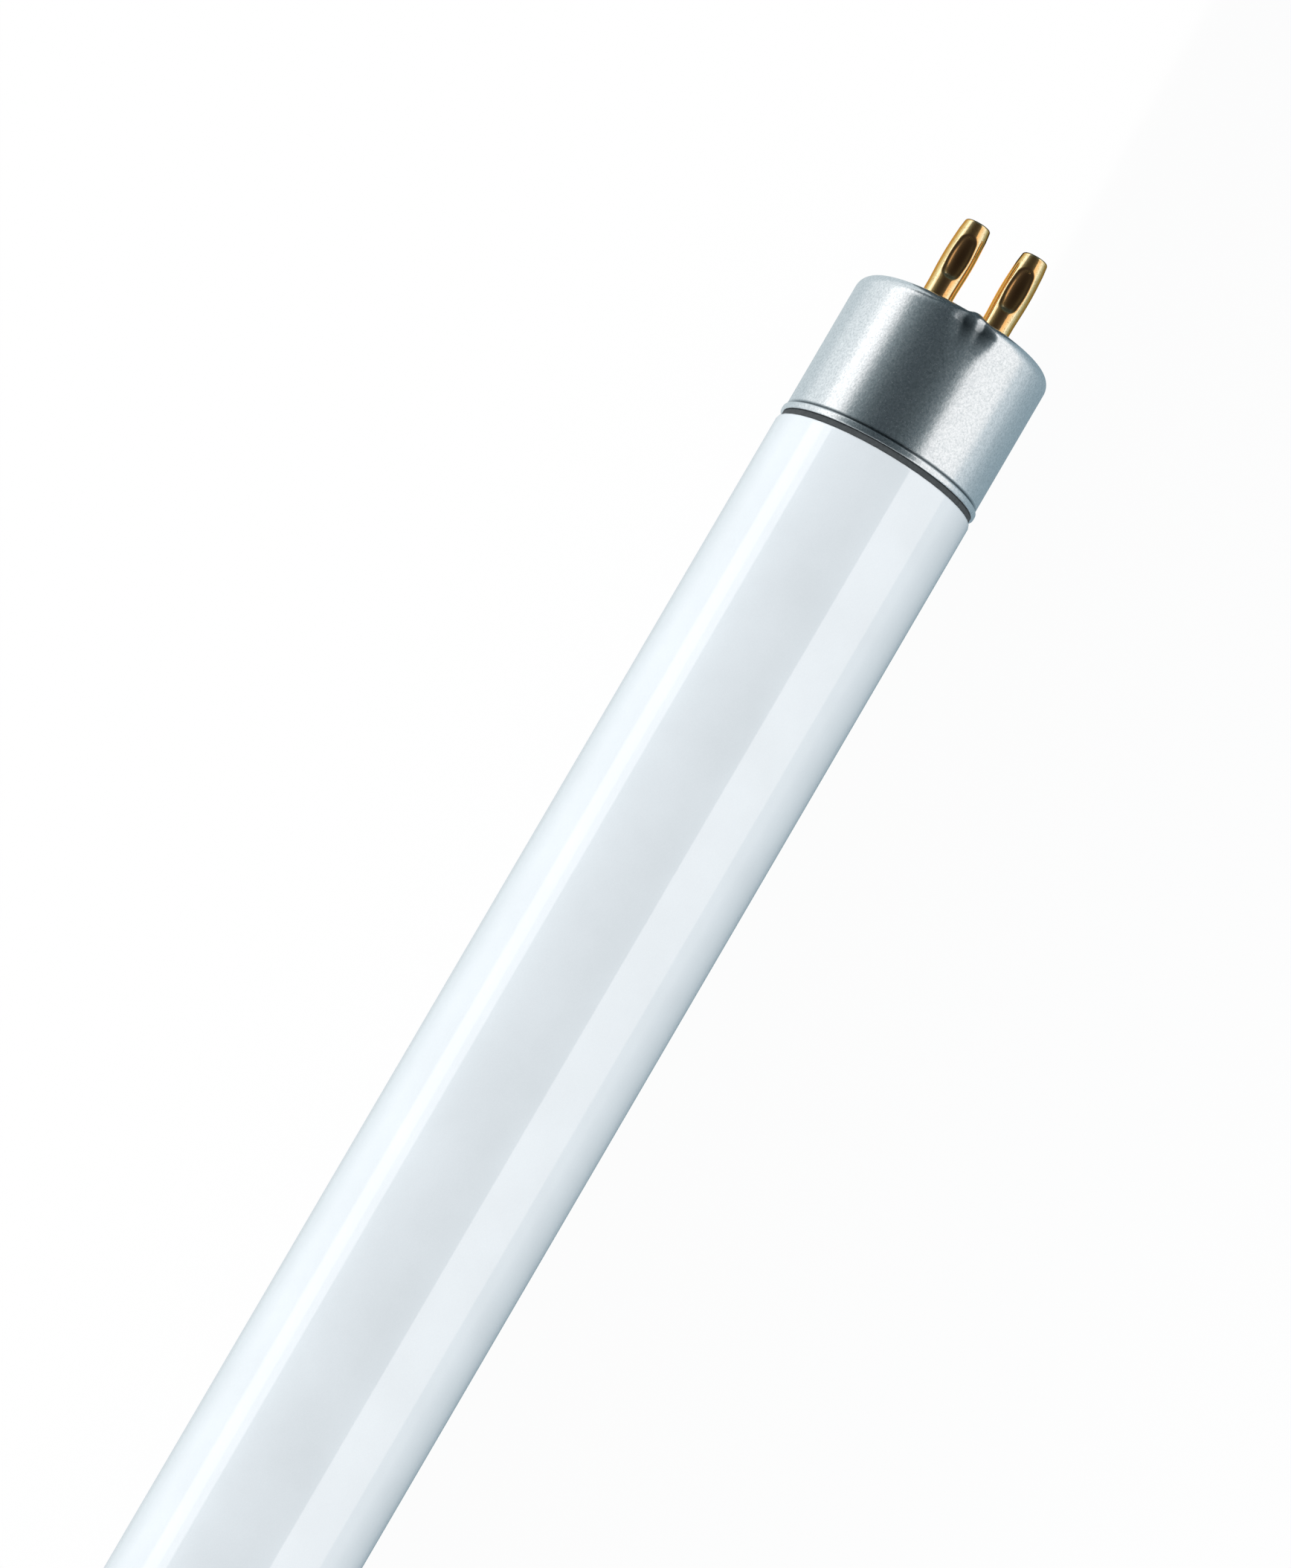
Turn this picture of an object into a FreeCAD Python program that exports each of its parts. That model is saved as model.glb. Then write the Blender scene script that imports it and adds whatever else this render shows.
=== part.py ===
"""A straight two-pin fluorescent tube of the 16 mm size, lying along X.

The origin is the middle of the tube, on its axis. +Z is up, and the stake marks of both caps face +Z.
Each end is modelled once, at +X, and the far end is the same end turned half round about Z.
"""
import FreeCAD
import Part
import math
import os
import Sketcher

# Driving dimensions in millimetres and degrees, with what each one is.
SIZES = (
    # whole lamp
    ("base_face_spacing", 288.3, "outer face of one cap's disc to that of the other"),
    # tube glass
    ("glass_dia", 15.9, "outside of the tube"),
    ("glass_wall", 0.8, "wall of the tube and of the stem"),
    ("glass_edge_round", 0.2, "edge where the tube steps down to its neck"),
    ("neck_end_gap", 2.5, "glass's end to the disc behind it"),
    ("neck_end_round", 2.4, "rounding of the glass's end, outside"),
    ("rim_gap", 0.46, "glass step to the cap's rim, filled with cement"),
    ("flare_bore", 6.6, "bore of the stem's flared tube"),
    ("stem_depth", 12.0, "glass's end to the floor of the stem"),
    ("press_length", 3.2, "solid glass that holds the lead wires"),
    ("exhaust_dia", 2.6, "outside of the sealed exhaust tube"),
    ("exhaust_bore", 1.4, "bore of the exhaust tube"),
    ("exhaust_reach", 1.5, "exhaust tip beyond the glass's end"),
    ("exhaust_tip_wall", 1.1, "glass that closes the exhaust tip"),
    # cap shell
    ("cap_length", 11.94, "rim to the disc's outer face"),
    ("skirt_inset", 0.16, "outside of the shell below that of the tube"),
    ("shell_wall", 0.35, "drawn sheet"),
    ("shell_round", 1.15, "outside rounding at the shell's end"),
    ("bead_length", 0.52, "rolled rim, along the axis"),
    ("bead_round", 0.16, "rim's rounding on both sides"),
    ("crease_depth", 0.14, "crease behind the rim, below the skirt"),
    ("crease_width", 0.22, "crease, along the axis"),
    ("opening_round", 0.12, "edge of the opening in the shell's end"),
    # stake mark on the shell's shoulder
    ("stake_angle", 7.2, "turn of the mark from the top, about the axis"),
    ("dimple_dia", 20.0, "ball that pressed the dimple"),
    ("dimple_depth", 0.39, "dimple below the shoulder"),
    ("dimple_lean", 79.6, "dimple's direction from the axis"),
    ("nib_dia", 2.34, "ball of the nib"),
    ("nib_back", 0.91, "nib's middle behind the shell's end"),
    ("nib_drop", 1.39, "nib's middle below the shell's outside"),
    ("stake_round", 0.3, "soft edges of the dimple and the nib"),
    # insulating disc
    ("disc_dia", 10.0, "raised middle that shows in the opening"),
    ("disc_proud", 0.15, "raised middle above the shell's end"),
    ("disc_edge", 0.05, "chamfer round the raised middle"),
    ("plate_thickness", 1.4, "wide part behind the shell's end"),
    ("plate_clearance", 0.04, "plate to the shell, all round"),
    ("disc_clearance", 0.03, "raised middle to the opening's edge"),
    # contact pins and lead wires
    ("pin_spacing", 4.75, "axis to axis"),
    ("pin_dia", 2.29, "round stretch next to the disc"),
    ("pin_round_length", 1.9, "round stretch, along the pin"),
    ("pin_swell", 0.09, "crimped stretch beyond the round one, before it is rounded"),
    ("pin_swell_round", 25.0, "barrel form of the crimped stretch, seen from the side"),
    ("pin_nose_length", 0.9, "tapered nose"),
    ("pin_nose_inset", 0.035, "nose below the round stretch where it starts"),
    ("pin_nose_round", 6.0, "soft start of the nose"),
    ("pin_length", 7.1, "disc's outer face to the pin's tip"),
    ("pin_tip_inset", 0.155, "tip below the round stretch, before the rounding"),
    ("pin_tip_round", 0.22, "rounding of the tip"),
    ("pin_tip_wall", 0.5, "metal that closes the tip"),
    ("pin_wall", 0.3, "wall of the shank and behind the crimp"),
    ("shank_inset", 0.195, "shank inside the disc below the round stretch"),
    ("shank_clearance", 0.02, "shank to its hole, all round"),
    ("rivet_dia", 3.1, "flared head behind the disc"),
    ("rivet_thickness", 0.35, "flared head"),
    ("crimp_place", 4.15, "middle of the crimp from the disc's face"),
    ("crimp_depth", 0.37, "crimp below the round stretch"),
    ("press_girth", 1.62, "barrel that presses the crimp, from its axis to its middle"),
    ("press_waist", 1.5, "the barrel near its ends"),
    ("press_reach", 1.5, "crimp's middle to the barrel's ends, which slope at 45 degrees"),
    ("press_round", 8.0, "rounding of the barrel's middle, along the pin"),
    ("press_end_round", 0.7, "rounding of the barrel's ends"),
    ("crimp_mouth_round", 0.22, "soft edge all round the crimp"),
    ("lead_dia", 0.5, "lead wire"),
    ("lead_seal_depth", 2.0, "lead wire inside the glass press"),
    ("lead_end_gap", 0.4, "lead wire's end to the pin's closed tip"),
    # basing cement
    ("cement_thickness", 0.29, "neck to the shell"),
    ("cement_lip_inset", 0.2, "cement in the gap at the rim, below the tube"),
    ("cement_lip_round", 0.08, "edge of that cement"),
    ("cement_length", 6.2, "cement along the neck"),
)

# Places along the axis (x) and from the axis (r, half), each worked out from the sizes.
PLACES = (
    ("face_x", "Sizes.base_face_spacing / 2"),
    ("rim_x", "Places.face_x - Sizes.cap_length"),
    # glass, outside
    ("glass_r", "Sizes.glass_dia / 2"),
    ("neck_r", "Places.skirt_inner_r - Sizes.cement_thickness"),
    ("step_x", "Places.rim_x - Sizes.rim_gap"),
    ("glass_end_x", "Places.plate_x - Sizes.neck_end_gap"),
    ("flare_bore_r", "Sizes.flare_bore / 2"),
    ("well_floor_x", "Places.glass_end_x - Sizes.stem_depth"),
    ("exhaust_r", "Sizes.exhaust_dia / 2"),
    ("exhaust_tip_x", "Places.glass_end_x + Sizes.exhaust_reach"),
    ("exhaust_tip_round", "0.7 * Places.exhaust_r"),
    ("flare_lip_round", "0.5 * Sizes.glass_wall"),
    # glass, the sealed space inside
    ("gas_r", "Places.glass_r - Sizes.glass_wall"),
    ("gas_neck_r", "Places.neck_r - Sizes.glass_wall"),
    ("gas_step_x", "Places.step_x - Sizes.glass_wall"),
    ("gas_end_x", "Places.glass_end_x - Sizes.glass_wall"),
    ("gas_end_round", "Sizes.neck_end_round - Sizes.glass_wall"),
    ("stem_r", "Places.flare_bore_r + Sizes.glass_wall"),
    ("stem_tip_x", "Places.well_floor_x - Sizes.press_length"),
    ("stem_tip_round", "0.5 * Sizes.press_length"),
    ("exhaust_bore_r", "Sizes.exhaust_bore / 2"),
    ("exhaust_bore_x", "Places.exhaust_tip_x - Sizes.exhaust_tip_wall"),
    # shell
    ("skirt_r", "Places.glass_r - Sizes.skirt_inset"),
    ("skirt_inner_r", "Places.skirt_r - Sizes.shell_wall"),
    ("bead_r", "Places.glass_r"),
    ("bead_x", "Places.rim_x + Sizes.bead_length"),
    ("crease_r", "Places.skirt_r - Sizes.crease_depth"),
    ("crease_x", "Places.bead_x + 0.4 * Sizes.crease_width"),
    ("crease_end_x", "Places.bead_x + Sizes.crease_width"),
    ("shell_x", "Places.face_x - Sizes.disc_proud"),
    ("shell_inner_x", "Places.shell_x - Sizes.shell_wall"),
    ("shell_inner_round", "Sizes.shell_round - Sizes.shell_wall"),
    ("opening_r", "Places.disc_r + Sizes.disc_clearance"),
    # centre of the shoulder's rounding, which the stake mark is measured from
    ("shoulder_x", "Places.shell_x - Sizes.shell_round"),
    ("shoulder_r", "Places.skirt_r - Sizes.shell_round"),
    ("dimple_r", "Sizes.dimple_dia / 2"),
    ("dimple_reach", "Sizes.shell_round - Sizes.dimple_depth + Places.dimple_r"),
    ("dimple_x", "Places.shoulder_x + Places.dimple_reach * cos(Sizes.dimple_lean)"),
    ("dimple_off", "Places.shoulder_r + Places.dimple_reach * sin(Sizes.dimple_lean)"),
    ("dimple_inner_r", "Places.dimple_r + Sizes.shell_wall"),
    ("dimple_clear_r", "Places.dimple_inner_r + Sizes.plate_clearance"),
    ("nib_r", "Sizes.nib_dia / 2"),
    ("nib_x", "Places.shell_x - Sizes.nib_back"),
    ("nib_off", "Places.skirt_r - Sizes.nib_drop"),
    # insulating disc
    ("disc_r", "Sizes.disc_dia / 2"),
    ("plate_r", "Places.skirt_inner_r - Sizes.plate_clearance"),
    ("plate_x", "Places.shell_inner_x - Sizes.plate_thickness"),
    ("plate_round", "Places.shell_inner_round"),
    ("pin_hole_r", "Places.shank_r + Sizes.shank_clearance"),
    # pins
    ("pin_off", "Sizes.pin_spacing / 2"),
    ("pin_r", "Sizes.pin_dia / 2"),
    ("shank_r", "Places.pin_r - Sizes.shank_inset"),
    ("rivet_r", "Sizes.rivet_dia / 2"),
    ("rivet_x", "Places.plate_x - Sizes.rivet_thickness"),
    ("pin_tip_x", "Places.face_x + Sizes.pin_length"),
    ("pin_tip_r", "Places.pin_r - Sizes.pin_tip_inset"),
    ("pin_round_x", "Places.face_x + Sizes.pin_round_length"),
    ("pin_swell_r", "Places.pin_r + Sizes.pin_swell"),
    ("pin_nose_x", "Places.pin_tip_x - Sizes.pin_nose_length"),
    ("pin_nose_r", "Places.pin_r - Sizes.pin_nose_inset"),
    ("pin_bore_r", "Places.shank_r - Sizes.pin_wall"),
    ("pin_bore_x", "Places.pin_tip_x - Sizes.pin_tip_wall"),
    ("lead_r", "Sizes.lead_dia / 2"),
    ("lead_x", "Places.well_floor_x - Sizes.lead_seal_depth"),
    ("lead_end_x", "Places.pin_bore_x - Sizes.lead_end_gap"),
    # the crimp is pressed by a barrel that lies along the pin
    ("crimp_x", "Places.face_x + Sizes.crimp_place"),
    ("crimp_floor_z", "Places.pin_r - Sizes.crimp_depth"),
    ("press_z", "Places.crimp_floor_z + Sizes.press_girth"),
    ("press_end_in_x", "Places.crimp_x - Sizes.press_reach"),
    ("press_end_out_x", "Places.crimp_x + Sizes.press_reach"),
    ("press_in_x", "Places.press_end_in_x - Sizes.press_waist"),
    ("press_out_x", "Places.press_end_out_x + Sizes.press_waist"),
    # a larger barrel leaves the metal that holds the lead wire
    ("hold", "Places.crimp_floor_z - Places.lead_r"),
    ("hold_girth", "Sizes.press_girth + Places.hold"),
    ("hold_waist", "Sizes.press_waist + Places.hold"),
    ("hold_in_x", "Places.press_end_in_x - Places.hold_waist"),
    ("hold_out_x", "Places.press_end_out_x + Places.hold_waist"),
    # cement
    ("cement_lip_r", "Places.glass_r - Sizes.cement_lip_inset"),
    ("cement_end_x", "Places.rim_x + Sizes.cement_length"),
)

AXIS = None  # a corner on the axis, or on the middle plane

doc = FreeCAD.newDocument("FluorescentTube")
sheet = doc.addObject("Spreadsheet::Sheet", "Sizes")
places = doc.addObject("App::VarSet", "Places")


def fill_sheet():
    for row, (alias, value, meaning) in enumerate(SIZES, start=1):
        sheet.set(f"A{row}", str(value))
        sheet.setAlias(f"A{row}", alias)
        sheet.set(f"B{row}", meaning)
    doc.recompute()
    for name, formula in PLACES:
        places.addProperty("App::PropertyFloat", name, "Places")
    for name, formula in PLACES:
        places.setExpression(name, formula)
    doc.recompute()


def number(path):
    """The present value of Sizes.name or Places.name, which may have a minus in front."""
    if path is AXIS:
        return 0.0
    if path.startswith("-"):
        return -number(path[1:])
    owner, name = path.split(".")
    return float(sheet.get(name) if owner == "Sizes" else getattr(places, name))


def origin_plane(body, role):
    return next(f for f in body.Origin.OriginFeatures if f.Role == role)


def new_body(name):
    body = doc.addObject("PartDesign::Body", name)
    body.Label = name
    return body


def new_sketch(body, name, role="XY_Plane", lift=None):
    """A sketch on one of the body's own planes, lifted off it by the place named in lift."""
    sketch = body.newObject("Sketcher::SketchObject", name)
    sketch.AttachmentSupport = [(origin_plane(body, role), "")]
    sketch.MapMode = "FlatFace"
    if lift:
        sketch.setExpression("AttachmentOffset.Base.z", lift)
    return sketch


def bind(sketch, kind, elements, path):
    """A dimension that follows the value named in path."""
    index = sketch.addConstraint(Sketcher.Constraint(kind, *elements, number(path)))
    sketch.setExpression(f"Constraints[{index}]", path)


def hold_point(sketch, element, place, x, y):
    """Hold a sketch point at the named x and y, or on an axis where the name is AXIS."""
    for kind, path, axis in (("DistanceX", x, -2), ("DistanceY", y, -1)):
        if path is AXIS:
            sketch.addConstraint(Sketcher.Constraint("PointOnObject", element, place, axis))
        elif path.startswith("-"):
            bind(sketch, kind, (element, place, -1, 1), path[1:])
        else:
            bind(sketch, kind, (-1, 1, element, place), path)


def corner_arc(spot, before, after, radius):
    """The arc that rounds the corner at spot, its two ends, and which end the outline meets first."""
    a = (before - spot).normalize()
    b = (after - spot).normalize()
    half = a.getAngle(b) / 2
    reach = radius / math.tan(half)
    centre = spot + (a + b).normalize() * (radius / math.sin(half))
    first = spot + a * reach
    last = spot + b * reach
    turn = [math.atan2((p - centre).y, (p - centre).x) for p in (first, last)]
    circle = Part.Circle(centre, FreeCAD.Vector(0, 0, 1), radius)
    if (turn[1] - turn[0]) % (2 * math.pi) < math.pi:
        return Part.ArcOfCircle(circle, turn[0], turn[1]), first, last, 1
    return Part.ArcOfCircle(circle, turn[1], turn[0]), first, last, 2


def draw_outline(sketch, corners):
    """A closed outline of straight sides through named corners (x, y, rounding or None).

    A mark at each sharp corner carries the two dimensions, and every side runs through two marks.
    """
    spots = [FreeCAD.Vector(number(x), number(y), 0) for x, y, _ in corners]
    count = len(corners)
    starts = list(spots)
    ends = list(spots)
    arcs = {}
    marks = []
    for i, (x, y, rounding) in enumerate(corners):
        mark = sketch.addGeometry(Part.Point(spots[i]), True)
        hold_point(sketch, mark, 1, x, y)
        marks.append(mark)
        if rounding:
            arc, ends[i], starts[i], first_end = corner_arc(
                spots[i], spots[i - 1], spots[(i + 1) % count], number(rounding)
            )
            arcs[i] = (sketch.addGeometry(arc, False), first_end)
    sides = []
    for i in range(count):
        j = (i + 1) % count
        side = sketch.addGeometry(Part.LineSegment(starts[i], ends[j]), False)
        for mark in (marks[i], marks[j]):
            sketch.addConstraint(Sketcher.Constraint("PointOnObject", mark, 1, side))
        sides.append(side)
    for i in range(count):
        if i in arcs:
            arc, first_end = arcs[i]
            sketch.addConstraint(Sketcher.Constraint("Tangent", sides[i - 1], 2, arc, first_end))
            sketch.addConstraint(Sketcher.Constraint("Tangent", arc, 3 - first_end, sides[i], 1))
            bind(sketch, "Radius", (arc,), corners[i][2])
        else:
            sketch.addConstraint(Sketcher.Constraint("Coincident", sides[i - 1], 2, sides[i], 1))


def turned(body, name, corners, feature="PartDesign::Revolution", lift=None):
    """An outline turned about the X axis, or about a line above it, added to the body or cut from it."""
    sketch = new_sketch(body, f"{name}_outline", lift=lift)
    draw_outline(sketch, corners)
    doc.recompute()
    turn = body.newObject(feature, name)
    turn.Profile = sketch
    turn.ReferenceAxis = (sketch, ["H_Axis"])
    turn.Angle = 360
    doc.recompute()
    return turn


def ball(name, radius, x, off):
    """A ball on the stake mark's half-plane, at x along the axis and off from it."""
    sphere = doc.addObject("Part::Sphere", name)
    sphere.setExpression("Radius", radius)
    sphere.setExpression("Placement.Base.x", x)
    sphere.setExpression("Placement.Base.y", f"-{off} * sin(Sizes.stake_angle)")
    sphere.setExpression("Placement.Base.z", f"{off} * cos(Sizes.stake_angle)")
    return sphere


def boolean(kind, name, *shapes):
    result = doc.addObject(kind, name)
    result.Label = name
    if kind in ("Part::Cut", "Part::Common", "Part::Fuse"):
        result.Base, result.Tool = shapes
    else:
        result.Shapes = list(shapes)
    return result


def at_end(obj, far, offset=None):
    """Turn an end piece half round about Z for the far end, and move it sideways by the named offset."""
    if far:
        turn = FreeCAD.Rotation(FreeCAD.Vector(0, 0, 1), 180)
        obj.Placement = FreeCAD.Placement(FreeCAD.Vector(0, 0, 0), turn)
    if offset:
        obj.setExpression("Placement.Base.y", offset)
    return obj


def glass_tube():
    """Tube, necks and stems, which are one piece of glass, around the sealed space."""
    body = new_body("glass_tube")
    outside = turned(body, "glass_form", (
        (AXIS, AXIS, None),
        (AXIS, "Places.glass_r", None),
        ("Places.step_x", "Places.glass_r", "Sizes.glass_edge_round"),
        ("Places.step_x", "Places.neck_r", "Sizes.glass_edge_round"),
        ("Places.glass_end_x", "Places.neck_r", "Sizes.neck_end_round"),
        ("Places.glass_end_x", "Places.flare_bore_r", "Places.flare_lip_round"),
        ("Places.well_floor_x", "Places.flare_bore_r", "Places.flare_lip_round"),
        ("Places.well_floor_x", "Places.exhaust_r", None),
        ("Places.exhaust_tip_x", "Places.exhaust_r", "Places.exhaust_tip_round"),
        ("Places.exhaust_tip_x", AXIS, None),
    ))
    gas = turned(body, "gas_space", (
        (AXIS, AXIS, None),
        (AXIS, "Places.gas_r", None),
        ("Places.gas_step_x", "Places.gas_r", "Sizes.glass_edge_round"),
        ("Places.gas_step_x", "Places.gas_neck_r", "Sizes.glass_edge_round"),
        ("Places.gas_end_x", "Places.gas_neck_r", "Places.gas_end_round"),
        ("Places.gas_end_x", "Places.stem_r", "Places.flare_lip_round"),
        ("Places.stem_tip_x", "Places.stem_r", "Places.stem_tip_round"),
        ("Places.stem_tip_x", "Places.exhaust_bore_r", None),
        ("Places.exhaust_bore_x", "Places.exhaust_bore_r", None),
        ("Places.exhaust_bore_x", AXIS, None),
    ), "PartDesign::Groove")
    seals = body.newObject("PartDesign::Pocket", "lead_seals")
    seals.Profile = pin_pair_circles(body, "lead_circles", "Places.well_floor_x", "Places.lead_r")
    seals.setExpression("Length", "Sizes.lead_seal_depth")
    doc.recompute()
    both_ends = body.newObject("PartDesign::Mirrored", "both_ends")
    both_ends.Originals = [outside, gas, seals]
    both_ends.MirrorPlane = (origin_plane(body, "YZ_Plane"), [""])
    body.Tip = both_ends
    return body


def pin_pair_circles(body, name, lift, radius_path):
    """Two circles in line with the pins, on a plane across the axis."""
    sketch = new_sketch(body, name, "YZ_Plane", lift)
    up = FreeCAD.Vector(0, 0, 1)
    off = number("Places.pin_off")
    circles = [
        sketch.addGeometry(Part.Circle(FreeCAD.Vector(side * off, 0, 0), up, number(radius_path)), False)
        for side in (1, -1)
    ]
    hold_point(sketch, circles[0], 3, "Places.pin_off", AXIS)
    bind(sketch, "Radius", (circles[0],), radius_path)
    sketch.addConstraint(Sketcher.Constraint("Symmetric", circles[0], 3, circles[1], 3, -1, 1))
    sketch.addConstraint(Sketcher.Constraint("Equal", circles[0], circles[1]))
    return sketch


def cap_shell(tag, far):
    """Drawn shell with a rolled rim, and the stake mark pressed into its shoulder."""
    drawn = new_body(f"drawn_shell_{tag}")
    turned(drawn, f"shell_wall_{tag}", (
        ("Places.rim_x", "Places.skirt_inner_r", None),
        ("Places.rim_x", "Places.bead_r", "Sizes.bead_round"),
        ("Places.bead_x", "Places.bead_r", "Sizes.bead_round"),
        ("Places.bead_x", "Places.crease_r", None),
        ("Places.crease_x", "Places.crease_r", None),
        ("Places.crease_end_x", "Places.skirt_r", None),
        ("Places.shell_x", "Places.skirt_r", "Sizes.shell_round"),
        ("Places.shell_x", "Places.opening_r", "Sizes.opening_round"),
        ("Places.shell_inner_x", "Places.opening_r", None),
        ("Places.shell_inner_x", "Places.skirt_inner_r", "Places.shell_inner_round"),
    ))
    form = new_body(f"shell_form_{tag}")
    turned(form, f"shell_outside_{tag}", (
        ("Places.bead_x", AXIS, None),
        ("Places.bead_x", "Places.skirt_r", None),
        ("Places.shell_x", "Places.skirt_r", "Sizes.shell_round"),
        ("Places.shell_x", AXIS, None),
    ))
    room = new_body(f"shell_room_{tag}")
    turned(room, f"shell_inside_{tag}", (
        ("Places.bead_x", AXIS, None),
        ("Places.bead_x", "Places.skirt_inner_r", None),
        ("Places.shell_inner_x", "Places.skirt_inner_r", "Places.shell_inner_round"),
        ("Places.shell_inner_x", AXIS, None),
    ))
    dimple_at = ("Places.dimple_x", "Places.dimple_off")
    behind = ball(f"dimple_back_{tag}", "Places.dimple_inner_r", *dimple_at)
    pressed = boolean("Part::Common", f"dimple_wall_{tag}", form, behind)
    filled = boolean("Part::Fuse", f"shell_filled_{tag}", drawn, pressed)
    press = ball(f"dimple_press_{tag}", "Places.dimple_r", *dimple_at)
    dimpled = boolean("Part::Cut", f"shell_dimpled_{tag}", filled, press)
    nib = ball(f"nib_{tag}", "Places.nib_r", "Places.nib_x", "Places.nib_off")
    staked = boolean("Part::Fuse", f"shell_staked_{tag}", dimpled, nib)
    clear = ball(f"dimple_keep_{tag}", "Places.dimple_inner_r", *dimple_at)
    inside = boolean("Part::Cut", f"shell_clear_{tag}", room, clear)
    hollow = boolean("Part::Cut", f"shell_hollow_{tag}", staked, inside)
    doc.recompute()
    body = new_body(f"cap_shell_{tag}")
    body.BaseFeature = hollow
    soft = body.newObject("PartDesign::Fillet", f"stake_edges_{tag}")
    soft.Base = (body.Group[0], stake_edges(hollow.Shape))
    soft.setExpression("Radius", "Sizes.stake_round")
    doc.recompute()
    return at_end(body, far)


def stake_edges(shape):
    """Names of the edges that lie on the ball of the dimple or on that of the nib."""
    lean = math.radians(number("Sizes.stake_angle"))
    balls = []
    for x, off, radius in (("dimple_x", "dimple_off", "dimple_r"), ("nib_x", "nib_off", "nib_r")):
        off = number(f"Places.{off}")
        centre = FreeCAD.Vector(number(f"Places.{x}"), -off * math.sin(lean), off * math.cos(lean))
        balls.append((centre, number(f"Places.{radius}")))
    names = []
    for index, edge in enumerate(shape.Edges, start=1):
        if edge.Degenerated or len(shape.ancestorsOfType(edge, Part.Face)) < 2:
            continue
        spots = edge.discretize(5)
        if any(all(abs((p - c).Length - r) < 1e-3 for p in spots) for c, r in balls):
            names.append(f"Edge{index}")
    return names


def insulator(tag, far):
    """Stepped disc behind the shell's end, with its middle in the opening."""
    blank = new_body(f"insulator_blank_{tag}")
    turned(blank, f"insulator_form_{tag}", (
        ("Places.plate_x", AXIS, None),
        ("Places.plate_x", "Places.plate_r", None),
        ("Places.shell_inner_x", "Places.plate_r", "Places.plate_round"),
        ("Places.shell_inner_x", "Places.disc_r", None),
        ("Places.face_x", "Places.disc_r", "Sizes.disc_edge"),
        ("Places.face_x", AXIS, None),
    ))
    holes = blank.newObject("PartDesign::Pocket", f"pin_holes_{tag}")
    holes.Profile = pin_pair_circles(blank, f"pin_circles_{tag}", "Places.face_x", "Places.pin_hole_r")
    holes.Type = "ThroughAll"
    doc.recompute()
    room = ball(f"dimple_room_{tag}", "Places.dimple_clear_r", "Places.dimple_x", "Places.dimple_off")
    return at_end(boolean("Part::Cut", f"insulator_{tag}", blank, room), far)


def contact_pin(tag, side, far):
    """Hollow pin, riveted through the disc, with one side crimped down on the lead wire."""
    name = f"{tag}_{side}"
    blank = new_body(f"pin_blank_{name}")
    turned(blank, f"pin_form_{name}", (
        ("Places.rivet_x", AXIS, None),
        ("Places.rivet_x", "Places.rivet_r", None),
        ("Places.plate_x", "Places.rivet_r", None),
        ("Places.plate_x", "Places.shank_r", None),
        ("Places.face_x", "Places.shank_r", None),
        ("Places.face_x", "Places.pin_r", None),
        ("Places.pin_round_x", "Places.pin_r", None),
        ("Places.crimp_x", "Places.pin_swell_r", "Sizes.pin_swell_round"),
        ("Places.pin_nose_x", "Places.pin_nose_r", "Sizes.pin_nose_round"),
        ("Places.pin_tip_x", "Places.pin_tip_r", "Sizes.pin_tip_round"),
        ("Places.pin_tip_x", AXIS, None),
    ))
    crimp = turned(blank, f"crimp_{name}", (
        ("Places.press_in_x", AXIS, None),
        ("Places.press_end_in_x", "Sizes.press_waist", "Sizes.press_end_round"),
        ("Places.crimp_x", "Sizes.press_girth", "Sizes.press_round"),
        ("Places.press_end_out_x", "Sizes.press_waist", "Sizes.press_end_round"),
        ("Places.press_out_x", AXIS, None),
    ), "PartDesign::Groove", "Places.press_z")
    soft = blank.newObject("PartDesign::Fillet", f"crimp_mouth_{name}")
    soft.Base = (crimp, mouth_edges(crimp.Shape))
    soft.setExpression("Radius", "Sizes.crimp_mouth_round")
    doc.recompute()

    bore = new_body(f"pin_bore_{name}")
    turned(bore, f"pin_bore_form_{name}", (
        ("Places.rivet_x", AXIS, None),
        ("Places.rivet_x", "Places.pin_bore_r", None),
        ("Places.pin_bore_x", "Places.pin_bore_r", None),
        ("Places.pin_bore_x", AXIS, None),
    ))
    turned(bore, f"crimp_hold_{name}", (
        ("Places.hold_in_x", AXIS, None),
        ("Places.press_end_in_x", "Places.hold_waist", "Sizes.press_end_round"),
        ("Places.crimp_x", "Places.hold_girth", "Sizes.press_round"),
        ("Places.press_end_out_x", "Places.hold_waist", "Sizes.press_end_round"),
        ("Places.hold_out_x", AXIS, None),
    ), "PartDesign::Groove", "Places.press_z")
    offset = ("-" if side == "right" else "") + "Places.pin_off"
    return at_end(boolean("Part::Cut", f"contact_pin_{name}", blank, bore), far, offset)


def mouth_edges(shape):
    """Names of the edges where the crimp meets the pin's outside, which lie above the crimp's floor."""
    names = []
    for index, edge in enumerate(shape.Edges, start=1):
        box = edge.BoundBox
        above = box.ZMin > number("Places.crimp_floor_z")
        across = box.YMax - box.YMin > 1e-3
        if above and across and box.XMin > number("Places.press_in_x"):
            names.append(f"Edge{index}")
    return names


def lead_wire(tag, side, far):
    """Wire from the glass press to the inside of the pin."""
    body = new_body(f"lead_wire_{tag}_{side}")
    turned(body, f"wire_{tag}_{side}", (
        ("Places.lead_x", AXIS, None),
        ("Places.lead_x", "Places.lead_r", None),
        ("Places.lead_end_x", "Places.lead_r", None),
        ("Places.lead_end_x", AXIS, None),
    ))
    offset = ("-" if side == "right" else "") + "Places.pin_off"
    return at_end(body, far, offset)


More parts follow.
